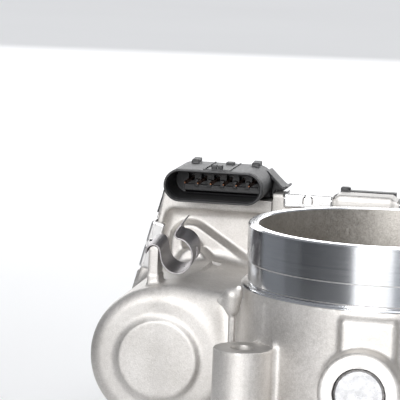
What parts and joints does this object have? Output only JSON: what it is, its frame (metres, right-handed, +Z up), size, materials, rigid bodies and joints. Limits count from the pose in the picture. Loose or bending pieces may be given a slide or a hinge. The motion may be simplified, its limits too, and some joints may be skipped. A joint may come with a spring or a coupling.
{
  "type": "throttle body",
  "caption": "Electronic throttle body: cast barrel with a turned hose spigot, side motor housing, clipped gear cover with plug shroud, and a butterfly plate on a geared shaft.",
  "frame": {"origin": "middle of the footprint on the manifold face", "axes": "+Z up the bore towards the hose spigot; the throttle shaft and the motor lie along Y, with the gear cover at +Y and the connector facing -Y; the motor is at -X"},
  "size_m": [0.1294, 0.1258, 0.0875],
  "materials": {
    "cast_aluminium": "fine shot-blasted casting with turned spigot bands",
    "black_plastic": "glass-filled moulding, satin",
    "rubber": "moulded seal",
    "copper": "copper alloy contact",
    "bright_steel": "bright rolled spring steel",
    "spring_steel": "blued spring steel",
    "steel": "ground and zinc-plated steel",
    "brass": "rolled and turned brass",
    "gear_plastic": "natural moulded gear plastic",
    "magnet": "sintered magnet",
    "carbon": "pressed carbon",
    "board": "lacquered circuit board"
  },
  "bodies": {
    "housing": {"housing": "cast_aluminium", "gear_cover": "black_plastic", "cover_seal": "rubber", "terminal_pin_1": "copper", "terminal_pin_2": "copper", "terminal_pin_3": "copper", "terminal_pin_4": "copper", "terminal_pin_5": "copper", "terminal_pin_6": "copper", "cover_clip_1": "bright_steel", "cover_clip_2": "bright_steel", "cover_clip_3": "bright_steel", "cover_clip_4": "bright_steel", "cover_clip_5": "bright_steel", "cover_clip_6": "bright_steel", "cover_clip_7": "bright_steel", "harness_clip": "spring_steel", "front_bearing": "steel", "front_seal": "rubber", "shaft_plug": "steel", "rear_bearing": "steel", "rear_seal": "rubber", "return_spring": "spring_steel", "motor_can": "steel", "motor_magnet_1": "magnet", "motor_magnet_2": "magnet", "motor_front_bush": "brass", "motor_rear_bearing": "steel", "motor_end_cap": "black_plastic", "brush_1": "carbon", "brush_2": "carbon", "motor_terminal_1": "brass", "motor_terminal_2": "brass", "motor_screw_1": "steel", "motor_screw_2": "steel", "wave_washer": "spring_steel", "idler_pin": "steel", "sensor_board": "board"},
    "throttle": {"throttle_shaft": "steel", "throttle_plate": "brass", "plate_screw_1": "steel", "plate_screw_2": "steel", "sector_gear": "gear_plastic", "sensor_magnet": "magnet"},
    "idler": {"idler_gear": "gear_plastic"},
    "rotor": {"motor_shaft": "steel", "armature_core": "steel", "armature_winding": "copper", "commutator": "copper", "motor_pinion": "brass"}
  },
  "joints": [
    {"name": "throttle_turn", "type": "hinge", "parent": "housing", "child": "throttle", "pos_m": [0.02154, -0.0119, 0.038], "axis": [0, 1, 0], "range_deg": [-6, 80], "stiffness_Nm_per_rad": 0.15, "deforming": ["return_spring"]},
    {"name": "idler_turn", "type": "hinge", "parent": "housing", "child": "idler", "pos_m": [-0.01141, 0.0481, 0.03617], "axis": [0, 1, 0], "range_deg": [-400, 30]},
    {"name": "rotor_turn", "type": "hinge", "parent": "housing", "child": "rotor", "pos_m": [-0.04336, 0.0081, 0.0344], "axis": [0, 1, 0], "range_deg": [-130, 1733.4]}
  ],
  "couplings": [
    {"joint": "idler_turn", "follows": "throttle_turn", "ratio": -5},
    {"joint": "rotor_turn", "follows": "throttle_turn", "ratio": 21.667}
  ]
}
